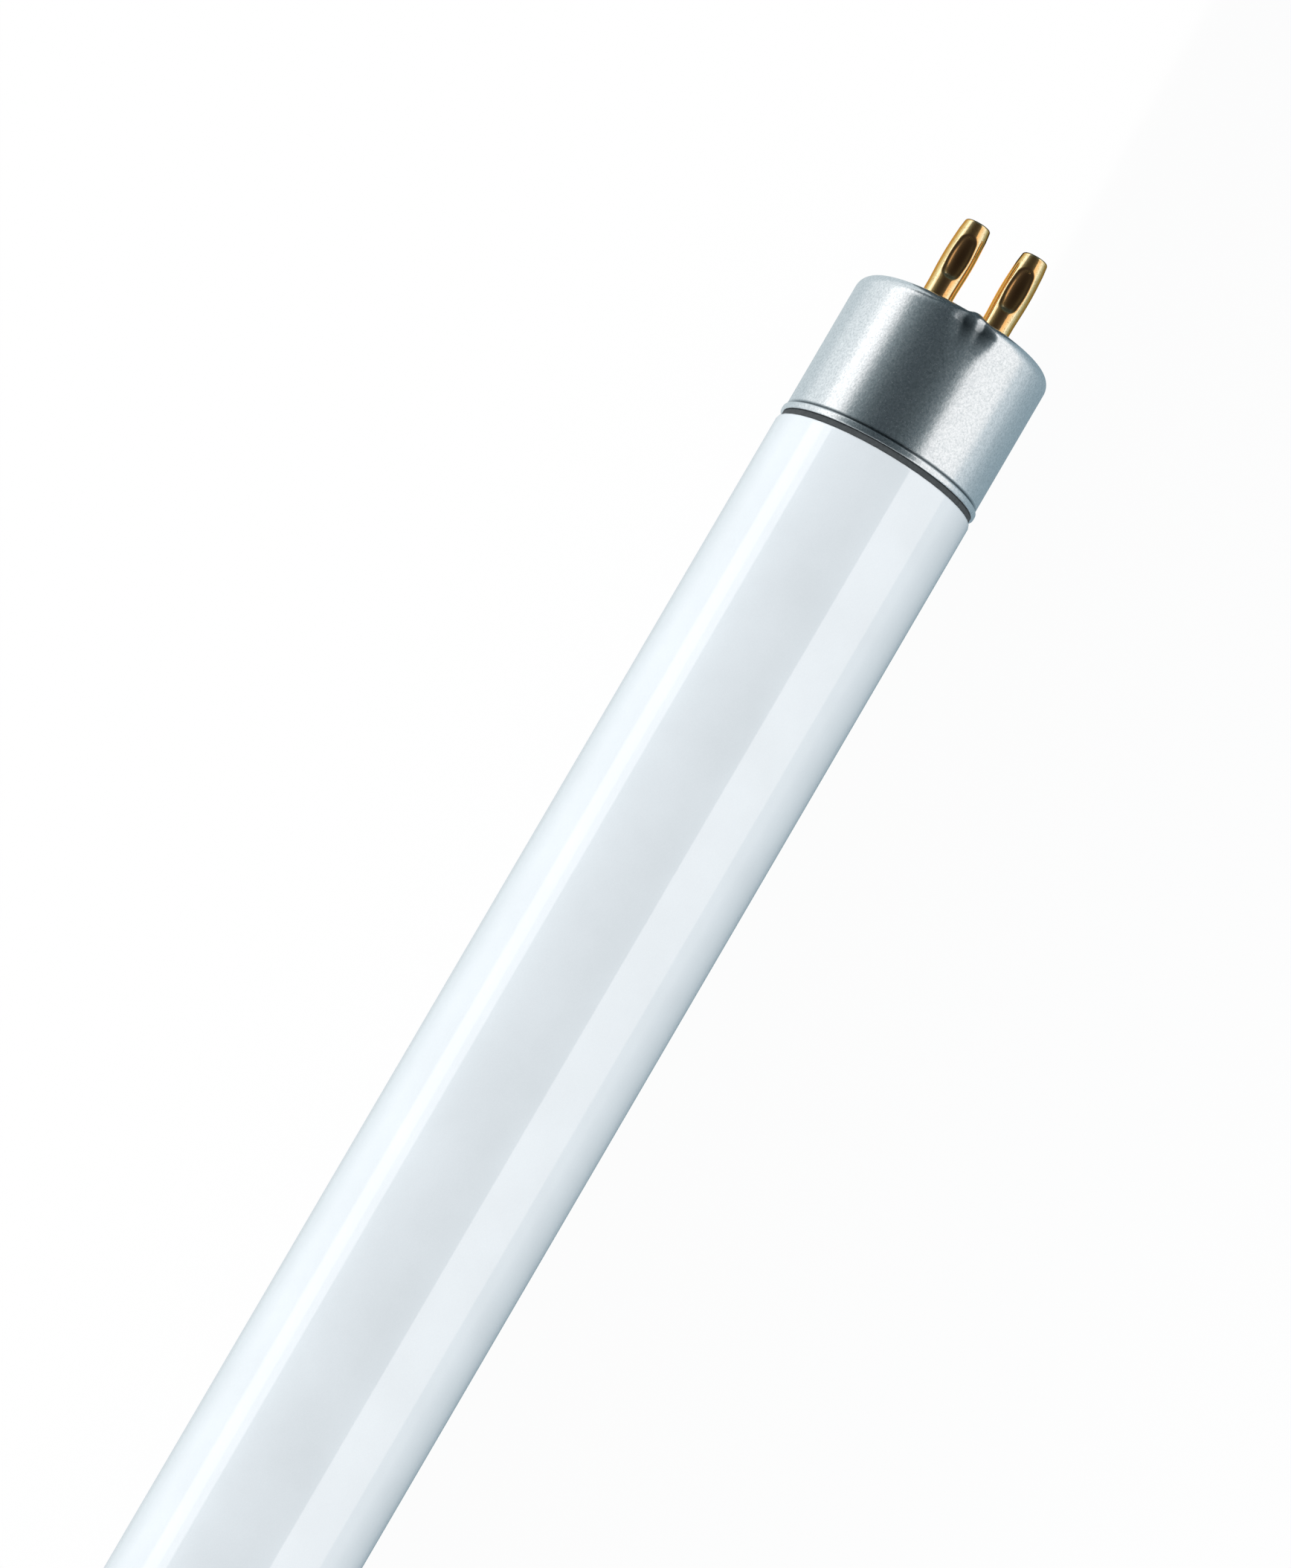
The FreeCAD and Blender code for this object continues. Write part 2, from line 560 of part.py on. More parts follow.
def cement_ring(tag, far):
    """Basing cement between the neck and the shell, which shows as a dark line at the rim."""
    body = new_body(f"basing_cement_{tag}")
    turned(body, f"cement_form_{tag}", (
        ("Places.step_x", "Places.neck_r", "Sizes.glass_edge_round"),
        ("Places.step_x", "Places.cement_lip_r", "Sizes.cement_lip_round"),
        ("Places.rim_x", "Places.cement_lip_r", "Sizes.cement_lip_round"),
        ("Places.rim_x", "Places.skirt_inner_r", None),
        ("Places.cement_end_x", "Places.skirt_inner_r", None),
        ("Places.cement_end_x", "Places.neck_r", None),
    ))
    return at_end(body, far)


def check(nodes):
    for obj in doc.Objects:
        if "Invalid" in obj.State or "Error" in obj.State:
            raise RuntimeError(f"{obj.Name} failed: {obj.State}")
        if obj.isDerivedFrom("Sketcher::SketchObject") and obj.solve() != 0:
            raise RuntimeError(f"{obj.Name} is not solved")
    for node in nodes:
        shape = node.Shape
        if shape.isNull() or not shape.isValid() or len(shape.Solids) != 1:
            raise RuntimeError(f"{node.Label} is not one valid solid")


def main():
    fill_sheet()
    nodes = [glass_tube()]
    for tag, far in (("a", False), ("b", True)):
        nodes.append(cap_shell(tag, far))
        nodes.append(insulator(tag, far))
        nodes.append(cement_ring(tag, far))
        for side in ("left", "right"):
            nodes.append(contact_pin(tag, side, far))
            nodes.append(lead_wire(tag, side, far))
    doc.recompute()
    check(nodes)
    os.makedirs("parts", exist_ok=True)
    for node in nodes:
        node.Shape.exportStep(f"parts/{node.Label}.step")


main()
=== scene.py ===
"""Looks for the fluorescent tube: materials, finer caps and pins, camera, floor and studio light."""

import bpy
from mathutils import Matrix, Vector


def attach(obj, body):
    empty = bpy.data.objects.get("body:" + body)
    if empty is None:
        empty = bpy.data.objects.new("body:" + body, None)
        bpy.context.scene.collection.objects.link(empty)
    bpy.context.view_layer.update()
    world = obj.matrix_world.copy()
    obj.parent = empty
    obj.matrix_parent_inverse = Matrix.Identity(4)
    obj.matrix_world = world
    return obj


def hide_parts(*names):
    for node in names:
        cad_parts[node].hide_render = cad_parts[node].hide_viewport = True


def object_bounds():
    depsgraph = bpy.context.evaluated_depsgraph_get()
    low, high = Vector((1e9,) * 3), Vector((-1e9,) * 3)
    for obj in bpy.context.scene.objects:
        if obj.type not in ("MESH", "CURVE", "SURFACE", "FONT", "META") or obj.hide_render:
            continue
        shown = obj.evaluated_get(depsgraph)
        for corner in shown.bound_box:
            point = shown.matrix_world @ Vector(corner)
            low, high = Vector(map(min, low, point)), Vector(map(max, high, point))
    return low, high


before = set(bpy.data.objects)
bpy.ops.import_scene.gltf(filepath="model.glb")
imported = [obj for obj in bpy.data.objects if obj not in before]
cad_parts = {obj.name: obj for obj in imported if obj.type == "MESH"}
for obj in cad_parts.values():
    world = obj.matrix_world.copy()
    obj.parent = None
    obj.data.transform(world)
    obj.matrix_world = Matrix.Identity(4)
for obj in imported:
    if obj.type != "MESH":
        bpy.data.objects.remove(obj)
cad_box = [list(corner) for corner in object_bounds()]

import math

import bmesh
import bpy
import numpy as np
from mathutils import Matrix, Vector

# Camera, as read from the photograph, which is 2108 pixels high
IMAGE_H = 2108
MM_PER_PX = 0.05317
LEAN_DEG = 30.3                  # the tube's turn in the image, clockwise from straight up
VIEW_TILT_DEG = 11.4             # how far the cap's end is turned away from the camera
AIM = (0.10366, 0.00279, 0.0)    # the point at the middle of the image
CAMERA_DISTANCE = 3.1
SENSOR = 36.0

# Studio, in metres: the lamps and cards lie along the tube
FLOOR_Z = cad_box[0][2]
FLOOR_HALF = 40.0
FLOOR_WHITE = 0.97               # share of the floor's own white where it is seen
LAMP_CENTRE = (0.1, 0.0, 0.0)
LAMP_DISTANCE, LAMP_LENGTH = 1.0, 2.4
CARD_BACK_X, CARD_FRONT_X = -3.0, 3.2
CARD_FAR_Y = 3.0                 # how far the cards on the floor reach from the tube
CARD_FOOT_Y = 0.004              # where they start, just beside the line the tube lies on
CARD_LIFT, STRIP_LIFT = 0.0005, 0.0008
CEILING_Z, RIGHT_WALL_Z = 1.2, 0.3
END_WALL_LOW_Y, END_WALL_HIGH_Y = -1.0, 2.8
STRIP_X, STRIP_HALF, STRIP_FAR_Y = 0.152, 0.006, 1.2
SHADE_FAR_Y, SHADE_MIDDLE_Y = 0.09, 0.04

# The caps and pins at the +X end, in millimetres: x along the tube, r from the axis they are turned on
MM = 0.001
RIM_X, BEAD_X, CREASE_X, CREASE_END_X, SHELL_X = 132.21, 132.73, 132.82, 132.95, 144.0
BEAD_R, SKIRT_R, CREASE_R, OPENING_R = 7.948, 7.79, 7.65, 5.03
SHELL_WALL, SHOULDER_ROUND, BEAD_ROUND, OPENING_ROUND = 0.35, 1.15, 0.16, 0.12
STAKE_DEG = 7.2                  # the stake mark's turn from the top, towards -Y
STAKE_HALF_DEG = 18.0            # half the stretch round the cap that the mark may move
STAKE_FROM_X = 141.0
DIMPLE_R, DIMPLE_X, DIMPLE_OFF = 10.0, 144.792, 17.223
NIB_R, NIB_X, NIB_OFF = 1.17, 143.09, 6.40
STAKE_SOFT = 0.16                # how far the mark's edges blend into the shell
STAKE_HIGH, STAKE_DEEP = 0.4, 0.8  # how far it may rise over the plain shell, and sink in
PIN_OFF, PIN_R, PIN_ROUND_X, FACE_X = 2.375, 1.145, 146.05, 144.15
CRIMP_X, SWELL_R, SWELL_ROUND = 148.30, 1.235, 25.0
NOSE_X, NOSE_R, NOSE_ROUND = 150.35, 1.11, 6.0
TIP_X, TIP_R, TIP_ROUND = 151.25, 0.99, 0.22
SHANK_R, RIVET_R, PLATE_X, RIVET_X = 0.95, 1.55, 142.25, 141.90
AXIS_R = 0.01                    # the small ring left open round a pin's axis, which a pole closes
PRESS_Z, PRESS_GIRTH, PRESS_WAIST, PRESS_REACH = 2.395, 1.62, 1.5, 1.5
PRESS_ROUND, PRESS_END_ROUND = 8.0, 0.7
CRIMP_SOFT = 0.15                # how far the crimp's edge blends into the pin
CRIMP_FROM_Z, CRIMP_PAST_NOSE = 0.2, 0.3  # the crimp stays above this height and short of the tip
CRIMP_HIGH, CRIMP_DEEP = 0.05, 0.75

# Meshes of the caps and pins
FINE = 0.05                      # longest side of a face where a mark is pressed
PLAIN_CAP, PLAIN_PIN = 1.0, 0.5  # and on the rest of the cap and pin
ARC_STEP_DEG, ARC_LEAST = 8, 6   # an arc's longest step, and its least number of steps
STAKE_COLUMNS, CAP_COLUMNS, PIN_COLUMNS = 92, 272, 132
SHARP_DEG = 32
SETTLE_STEPS = 120
SLOPE_STEP = 1e-4
TOUCH = 1e-4                     # a point this near to a form lies on it

WHITE = (1.0, 1.0, 1.0)
SHARE = (0.0, 1.0)               # from none of a colour to all of it
MOST_NOISE = (0.3, 0.7)          # where nearly all values of a noise lie


# Node helpers
def new_material(name):
    material = bpy.data.materials.new(name)
    material.use_nodes = True
    tree = material.node_tree
    return material, tree, tree.nodes["Principled BSDF"]


def add(tree, kind, **settings):
    """A new node, with settings that are its own or those of its sockets."""
    node = tree.nodes.new(kind)
    for key, value in settings.items():
        if key in node.inputs:
            node.inputs[key].default_value = value
        else:
            setattr(node, key, value)
    return node


def link(tree, source, target):
    tree.links.new(source, target)


def set_sockets(shader, levels):
    for name, level in levels.items():
        shader.inputs[name].default_value = level


def object_point(tree, scale=(1.0, 1.0, 1.0)):
    coordinates = add(tree, "ShaderNodeTexCoord")
    mapping = add(tree, "ShaderNodeMapping", Scale=scale)
    link(tree, coordinates.outputs["Object"], mapping.inputs["Vector"])
    return mapping.outputs["Vector"]


def noise(tree, point, scale, detail=2.0, roughness=0.5):
    texture = add(tree, "ShaderNodeTexNoise", Scale=scale, Detail=detail, Roughness=roughness)
    link(tree, point, texture.inputs["Vector"])
    return texture.outputs["Fac"]


def remap(tree, value, given, wanted):
    """A value's range, given as (low, high), laid over the wanted one and kept inside it."""
    node = add(tree, "ShaderNodeMapRange")
    set_sockets(node, {"From Min": given[0], "From Max": given[1]})
    set_sockets(node, {"To Min": wanted[0], "To Max": wanted[1]})
    link(tree, value, node.inputs["Value"])
    return node.outputs["Result"]


def mix_colors(tree, factor, low, high, blend="MIX"):
    """Two colours, each a tuple or a socket, mixed by a number or a socket."""
    node = add(tree, "ShaderNodeMix", data_type="RGBA", blend_type=blend)
    share, first, second = node.inputs[0], node.inputs[6], node.inputs[7]
    for socket, colour in ((first, low), (second, high)):
        if isinstance(colour, tuple):
            socket.default_value = (*colour, 1.0)
        else:
            link(tree, colour, socket)
    if isinstance(factor, float):
        share.default_value = factor
    else:
        link(tree, factor, share)
    return node.outputs[2]


def ramp(tree, value, stops):
    """Colours along a value: stops are (place, colour), lowest place first."""
    low, high = stops[0][0], stops[-1][0]
    node = add(tree, "ShaderNodeValToRGB")
    spots = node.color_ramp.elements
    while len(spots) < len(stops):
        spots.new(1.0)
    for spot, (place, colour) in zip(spots, stops):
        spot.position = (place - low) / (high - low)
        spot.color = (*colour, 1.0)
    link(tree, remap(tree, value, (low, high), SHARE), node.inputs["Fac"])
    return node.outputs["Color"]


def math_node(tree, operation, first, second=None, limit=None):
    """A Math node's result, from one socket and where it needs one a second socket or a fixed limit."""
    node = add(tree, "ShaderNodeMath", operation=operation)
    link(tree, first, node.inputs[0])
    if second is not None:
        link(tree, second, node.inputs[1])
    if limit is not None:
        node.inputs[1].default_value = limit
    return node.outputs[0]


def bump(tree, height, strength, distance, shader):
    node = add(tree, "ShaderNodeBump", Strength=strength, Distance=distance)
    link(tree, height, node.inputs["Height"])
    link(tree, node.outputs["Normal"], shader.inputs["Normal"])


# Materials
def coated_glass():
    """Clear glass over a fine white powder coat."""
    material, tree, shader = new_material("coated_glass")
    point = object_point(tree)
    grain = noise(tree, point, scale=9000.0, detail=2.0, roughness=0.6)
    cloud = noise(tree, point, scale=160.0, detail=3.0, roughness=0.55)
    waves = noise(tree, point, scale=60.0)
    shaded_powder, bright_powder = (0.745, 0.803, 0.847), (0.81, 0.865, 0.905)
    thin_coat = (0.96, 0.96, 0.96)
    powder = mix_colors(tree, grain, shaded_powder, bright_powder)
    patches = mix_colors(tree, remap(tree, cloud, (0.35, 0.65), SHARE), thin_coat, WHITE)
    link(tree, mix_colors(tree, 1.0, powder, patches, "MULTIPLY"), shader.inputs["Base Color"])
    set_sockets(shader, {"Roughness": 0.06, "IOR": 1.6, "Specular IOR Level": 1.0})
    set_sockets(shader, {"Coat Weight": 1.0, "Coat IOR": 1.6, "Coat Roughness": 0.05})
    bump(tree, waves, 0.15, 2e-5, shader)
    return material


def between(tree, value, low, high):
    """1 where a value lies between low and high, and 0 elsewhere."""
    above = math_node(tree, "GREATER_THAN", value, limit=low)
    below = math_node(tree, "LESS_THAN", value, limit=high)
    return math_node(tree, "MULTIPLY", above, below)


def crease_shade(tree):
    """Mask of painted shade: 1 down in the crease behind either cap's rolled rim, and 0 on the skin beside
    it.
    """
    place = add(tree, "ShaderNodeTexCoord")
    parts = add(tree, "ShaderNodeSeparateXYZ")
    link(tree, place.outputs["Object"], parts.inputs[0])
    along = math_node(tree, "ABSOLUTE", parts.outputs["X"])
    flat = add(tree, "ShaderNodeCombineXYZ")
    link(tree, parts.outputs["Y"], flat.inputs["Y"])
    link(tree, parts.outputs["Z"], flat.inputs["Z"])
    girth = add(tree, "ShaderNodeVectorMath", operation="LENGTH")
    link(tree, flat.outputs[0], girth.inputs[0])
    skin_r = SKIRT_R + 0.06
    low = remap(tree, girth.outputs["Value"], (CREASE_R * MM, skin_r * MM), (1.0, 0.0))
    near = between(tree, along, (BEAD_X - 0.1) * MM, (CREASE_END_X + 0.05) * MM)
    return math_node(tree, "MULTIPLY", low, near)


def pressed_in(tree, depth):
    """0 on the skin, up to 1 where a tool has pressed it in by depth, in mm, or more."""
    mark = add(tree, "ShaderNodeAttribute", attribute_name="pressed")
    return remap(tree, mark.outputs["Fac"], (0.0, depth), SHARE)


def satin_aluminium():
    """Drawn and tumbled aluminium: orange-peel grain, dark pits, and painted shade in the crease and stake
    mark.
    """
    material, tree, shader = new_material("satin_aluminium")
    dull_skin, bright_skin, pit = (0.92, 0.945, 0.96), (0.97, 0.99, 1.0), (0.66, 0.70, 0.72)
    # Colours of painted shade, for the stake mark and for the crease behind the rim
    stake_shade, rim_shade = (0.12, 0.14, 0.15), (0.22, 0.25, 0.265)
    point = object_point(tree)
    grain = noise(tree, point, scale=4600.0, detail=4.0, roughness=0.7)
    pits = noise(tree, point, scale=5600.0, detail=4.0, roughness=0.75)
    stain = noise(tree, point, scale=420.0, detail=4.0, roughness=0.6)
    skin = mix_colors(tree, stain, dull_skin, bright_skin)
    pitted = mix_colors(tree, remap(tree, pits, (0.34, 0.60), SHARE), pit, skin)
    # Painted shade, darker where the stake mark is pressed in
    pressed = mix_colors(tree, pressed_in(tree, 0.35), pitted, stake_shade)
    # Painted shade down in the crease behind the rolled rim
    with_painted_shade = mix_colors(tree, crease_shade(tree), pressed, rim_shade)
    link(tree, with_painted_shade, shader.inputs["Base Color"])
    set_sockets(shader, {"Metallic": 1.0})
    link(tree, remap(tree, grain, MOST_NOISE, (0.15, 0.28)), shader.inputs["Roughness"])
    bump(tree, grain, 0.62, 1.2e-5, shader)
    return material


def bright_brass():
    """Brass with painted highlight and shade by view angle: creamy where bright, browner seen face on or
    along, with brown in its grain and painted shade in its crimp.
    """
    material, tree, shader = new_material("bright_brass")
    # The crimp's colour is painted shade, a darker brown in the pressed-in crimp
    grain_brown, crimp_shade_brown, edge_tint = (0.62, 0.30, 0.11), (0.34, 0.15, 0.06), (0.95, 0.60, 0.28)
    streak = noise(tree, object_point(tree, (0.35, 1.0, 1.0)), scale=4200.0, detail=3.0, roughness=0.6)
    grain = noise(tree, object_point(tree), scale=9000.0, detail=3.0, roughness=0.65)
    # Painted highlight and shade by view angle: cream where the brass shows bright, brown face on, orange
    # to brown at the edges
    facing = add(tree, "ShaderNodeLayerWeight", Blend=0.5)
    painted_highlights = ramp(tree, facing.outputs["Facing"], (
        (0.00, (0.60, 0.28, 0.13)),
        (0.04, (0.74, 0.38, 0.15)),
        (0.09, (1.00, 0.54, 0.19)),
        (0.14, (1.00, 0.68, 0.31)),
        (0.24, (1.00, 0.88, 0.56)),
        (0.36, (1.00, 0.78, 0.38)),
        (0.52, (0.96, 0.54, 0.17)),
        (1.00, (0.78, 0.36, 0.10)),
    ))
    brown = mix_colors(tree, remap(tree, grain, (0.30, 0.46), SHARE), grain_brown, painted_highlights)
    # Painted shade: darker brown where the crimp is pressed in
    pressed = mix_colors(tree, pressed_in(tree, 0.4), brown, crimp_shade_brown)
    link(tree, pressed, shader.inputs["Base Color"])
    set_sockets(shader, {"Metallic": 1.0, "Specular Tint": (*edge_tint, 1.0)})
    link(tree, remap(tree, streak, MOST_NOISE, (0.06, 0.15)), shader.inputs["Roughness"])
    bump(tree, grain, 0.22, 5e-6, shader)
    return material


def moulded_resin():
    """The insulator's dark resin, with a fine moulded grain."""
    material, tree, shader = new_material("moulded_resin")
    grain = noise(tree, object_point(tree), scale=2600.0, detail=3.0, roughness=0.6)
    colour = mix_colors(tree, grain, (0.022, 0.018, 0.016), (0.06, 0.05, 0.045))
    link(tree, colour, shader.inputs["Base Color"])
    link(tree, remap(tree, grain, MOST_NOISE, (0.42, 0.6)), shader.inputs["Roughness"])
    bump(tree, grain, 0.3, 1e-5, shader)
    return material


def dark_cement():
    """Baked cement, matt and grainy."""
    material, tree, shader = new_material("dark_cement")
    grain = noise(tree, object_point(tree), scale=3400.0, detail=5.0, roughness=0.7)
    colour = mix_colors(tree, grain, (0.025, 0.030, 0.032), (0.10, 0.112, 0.118))
    link(tree, colour, shader.inputs["Base Color"])
    set_sockets(shader, {"Roughness": 0.9})
    bump(tree, grain, 0.8, 4e-5, shader)
    return material


def drawn_wire():
    """Plain drawn wire, with streaks along it."""
    material, tree, shader = new_material("drawn_wire")
    streak = noise(tree, object_point(tree, (0.1, 1.0, 1.0)), scale=5000.0, detail=3.0, roughness=0.6)
    colour = mix_colors(tree, streak, (0.50, 0.48, 0.45), (0.66, 0.64, 0.61))
    link(tree, colour, shader.inputs["Base Color"])
    set_sockets(shader, {"Metallic": 1.0})
    link(tree, remap(tree, streak, MOST_NOISE, (0.25, 0.4)), shader.inputs["Roughness"])
    return material


def seen_rays(tree):
    """1 for camera, mirror and glass rays, 0 for the light that falls on things."""
    path = add(tree, "ShaderNodeLightPath")
    seen = math_node(tree, "MAXIMUM", path.outputs["Is Camera Ray"], path.outputs["Is Glossy Ray"])
    return math_node(tree, "MAXIMUM", seen, path.outputs["Is Transmission Ray"])


def pale_floor():
    """A white sweep: mostly its own white where it is seen, over the lit surface and its shadow."""
    material, tree, shader = new_material("pale_floor")
    speck = noise(tree, object_point(tree), scale=900.0, detail=4.0, roughness=0.6)
    colour = mix_colors(tree, speck, (0.93, 0.93, 0.93), (0.95, 0.95, 0.95))
    link(tree, colour, shader.inputs["Base Color"])
    set_sockets(shader, {"Roughness": 0.9, "Specular IOR Level": 0.1})
    white = add(tree, "ShaderNodeEmission", Color=(*WHITE, 1.0), Strength=1.0)
    mixed = add(tree, "ShaderNodeMixShader")
    link(tree, math_node(tree, "MULTIPLY", seen_rays(tree), limit=FLOOR_WHITE), mixed.inputs[0])
    link(tree, shader.outputs[0], mixed.inputs[1])
    link(tree, white.outputs[0], mixed.inputs[2])
    link(tree, mixed.outputs[0], tree.nodes["Material Output"].inputs["Surface"])
    return material


def dress_nodes():
    """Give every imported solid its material, and return the materials by the start of the node's name."""
    looks = {
        "glass_tube": coated_glass(),
        "cap_shell": satin_aluminium(),
        "contact_pin": bright_brass(),
        "insulator": moulded_resin(),
        "basing_cement": dark_cement(),
        "lead_wire": drawn_wire(),
    }
    for name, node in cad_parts.items():
        look = next(material for start, material in looks.items() if name.startswith(start))
        for slot in node.material_slots:
            slot.material = look
    return looks


# Finer caps and pins
def rounded(corners, closed):
    """Points along an outline of (x, r, rounding) corners, with an arc at each rounded one."""
    spots = [Vector((x, r)) for x, r, _ in corners]
    line = []
    for i, (spot, corner) in enumerate(zip(spots, corners)):
        radius = corner[2]
        if not radius or (not closed and i in (0, len(spots) - 1)):
            line.append(spot)
            continue
        back = (spots[i - 1] - spot).normalized()
        on = (spots[(i + 1) % len(spots)] - spot).normalized()
        half = back.angle(on) / 2
        centre = spot + (back + on).normalized() * (radius / math.sin(half))
        first = spot + back * (radius / math.tan(half)) - centre
        sweep = math.pi - 2 * half
        if back.x * on.y - back.y * on.x > 0:
            sweep = -sweep
        by_length = math.ceil(abs(sweep) * radius / FINE)
        by_turn = math.ceil(abs(sweep) / math.radians(ARC_STEP_DEG))
        steps = max(ARC_LEAST, by_length, by_turn)
        for step in range(steps + 1):
            line.append(centre + Matrix.Rotation(sweep * step / steps, 2) @ first)
    return line


def divided(line, closed, stride):
    """The same outline with its straight runs cut into pieces no longer than stride(x) there."""
    fine = []
    count = len(line)
    for i in range(count if closed else count - 1):
        start, end = line[i], line[(i + 1) % count]
        pieces = max(1, math.ceil((end - start).length / stride((start.x + end.x) / 2)))
        fine += [start.lerp(end, k / pieces) for k in range(pieces)]
    if not closed:
        fine.append(line[-1])
    return np.array([[p.x, p.y] for p in fine])


def smooth_min(a, b, blend):
    share = np.clip(0.5 + 0.5 * (b - a) / blend, 0, 1)
    return b * (1 - share) + a * share - blend * share * (1 - share)


def smooth_max(a, b, blend):
    return -smooth_min(-a, -b, blend)


def settle(points, normals, form, high, deep):
    """Slide points along their normals, from high to deep, to where form turns from outside to inside."""
    moved = points.copy()
    open_still = np.ones(len(points), bool)
    stride = (high + deep) / SETTLE_STEPS
    before = form(points + normals * high)
    for step in range(1, SETTLE_STEPS + 1):
        reach = high - stride * step
        now = form(points + normals * reach)
        hit = open_still & (now <= 0)
        share = before[hit] / np.maximum(before[hit] - now[hit], 1e-9)
        moved[hit] = points[hit] + normals[hit] * (reach + stride * (1 - share))[:, None]
        open_still &= ~hit
        before = now
    return moved


def turned_grid(profile, angles):
    """x, y, z of a profile turned about X: angle 0 is up and positive is towards -Y."""
    x = np.repeat(profile[:, 0][:, None], len(angles), 1)
    y = -profile[:, 1][:, None] * np.sin(angles)[None, :]
    z = profile[:, 1][:, None] * np.cos(angles)[None, :]
    return np.stack([x, y, z], axis=2)


def grid_faces(rows, columns, closed):
    """Faces of a grid that is closed round the axis, and along its profile too where closed says so."""
    faces = []
    for i in range(rows if closed else rows - 1):
        a, b = i * columns, (i + 1) % rows * columns
        for j in range(columns):
            k = (j + 1) % columns
            faces.append((a + j, b + j, b + k, a + k))
    return faces


def add_pole(points, faces, ring, flip):
    """Close a ring of points with a fan of faces round its middle."""
    pole = len(points)
    points.append([sum(points[spot][axis] for spot in ring) / len(ring) for axis in range(3)])
    for j, spot in enumerate(ring):
        after = ring[(j + 1) % len(ring)]
        faces.append((spot, after, pole) if flip else (after, spot, pole))


def grid_mesh(name, grid, depth, closed, far, material):
    """A mesh of a turned grid, whose profile is closed or ends in a pole on the axis at both ends.

    depth says how far each point was pressed in, which the materials read, and far puts it at -X.
    """
    rows, columns = grid.shape[:2]
    if far:
        grid = grid * np.array([-1, -1, 1])
    points = (grid.reshape(-1, 3) * MM).tolist()
    faces = grid_faces(rows, columns, closed)
    if not closed:
        for row, flip in ((0, True), (rows - 1, False)):
            add_pole(points, faces, [row * columns + j for j in range(columns)], flip)
    mesh = bpy.data.meshes.new(name)
    mesh.from_pydata(points, [], faces)
    work = bmesh.new()
    work.from_mesh(mesh)
    bmesh.ops.recalc_face_normals(work, faces=work.faces)
    work.to_mesh(mesh)
    work.free()
    pressed = np.zeros(len(points))
    pressed[:rows * columns] = depth.ravel()
    mesh.attributes.new("pressed", "FLOAT", "POINT").data.foreach_set("value", pressed)
    mesh.shade_smooth()
    mesh.set_sharp_from_angle(angle=math.radians(SHARP_DEG))
    mesh.materials.append(material)
    piece = bpy.data.objects.new(name, mesh)
    bpy.context.scene.collection.objects.link(piece)
    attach(piece, "root")
    return piece


def shell_distance(points, inset):
    """Distance outside the shell's form, or outside its inner form where inset is the wall."""
    along = points[:, 0] - (SHELL_X - SHOULDER_ROUND)
    out = np.hypot(points[:, 1], points[:, 2]) - (SKIRT_R - SHOULDER_ROUND)
    corner = np.hypot(np.maximum(along, 0), np.maximum(out, 0))
    return corner + np.minimum(np.maximum(along, out), 0) - (SHOULDER_ROUND - inset)


def shell_normals(points, inset):
    slopes = []
    for axis in range(3):
        shift = np.zeros(3)
        shift[axis] = SLOPE_STEP
        slopes.append(shell_distance(points + shift, inset) - shell_distance(points - shift, inset))
    slopes = np.stack(slopes, axis=1)
    return slopes / np.linalg.norm(slopes, axis=1)[:, None]


def on_stake_plane(x, off):
    lean = math.radians(STAKE_DEG)
    return np.array([x, -off * math.sin(lean), off * math.cos(lean)])


def staked_form(inset):
    """The shell's form with the dimple's ball out of it, and on the outside the nib's ball on it."""
    dimple = on_stake_plane(DIMPLE_X, DIMPLE_OFF)
    nib = on_stake_plane(NIB_X, NIB_OFF)

    def form(points):
        solid = shell_distance(points, inset)
        press = DIMPLE_R + inset - np.linalg.norm(points - dimple, axis=1)
        solid = smooth_max(solid, press, STAKE_SOFT)
        if not inset:
            solid = smooth_min(solid, np.linalg.norm(points - nib, axis=1) - NIB_R, STAKE_SOFT)
        return solid

    return form


def shell_profile():
    inner_x, inner_r = SHELL_X - SHELL_WALL, SKIRT_R - SHELL_WALL
    corners = (
        (RIM_X, inner_r, 0),
        (RIM_X, BEAD_R, BEAD_ROUND),
        (BEAD_X, BEAD_R, BEAD_ROUND),
        (BEAD_X, CREASE_R, 0),
        (CREASE_X, CREASE_R, 0),
        (CREASE_END_X, SKIRT_R, 0),
        (SHELL_X, SKIRT_R, SHOULDER_ROUND),
        (SHELL_X, OPENING_R, OPENING_ROUND),
        (inner_x, OPENING_R, 0),
        (inner_x, inner_r, SHOULDER_ROUND - SHELL_WALL),
    )
    return divided(rounded(corners, True), True, lambda x: FINE if x > STAKE_FROM_X else PLAIN_CAP)


def shell_angles():
    """Angles of the columns round the cap, close together at the stake mark, whose columns are first."""
    middle = math.radians(STAKE_DEG)
    half = math.radians(STAKE_HALF_DEG)
    near = np.linspace(middle - half, middle + half, STAKE_COLUMNS)
    rest = np.linspace(middle + half, middle - half + 2 * math.pi, CAP_COLUMNS)
    return np.concatenate([near, rest[1:-1]])


def press_stake(grid):
    """Move the grid's points on both faces of the shell to the stake mark's form."""
    shape = grid[:, :STAKE_COLUMNS].shape
    for inset in (0.0, SHELL_WALL):
        zone = grid[:, :STAKE_COLUMNS].reshape(-1, 3)
        mine = (np.abs(shell_distance(zone, inset)) < TOUCH) & (zone[:, 0] > STAKE_FROM_X)
        if not inset:
            mine &= np.hypot(zone[:, 1], zone[:, 2]) > OPENING_R + OPENING_ROUND
        points = zone[mine]
        normals = shell_normals(points, inset)
        zone[mine] = settle(points, normals, staked_form(inset), STAKE_HIGH, STAKE_DEEP)
        grid[:, :STAKE_COLUMNS] = zone.reshape(shape)


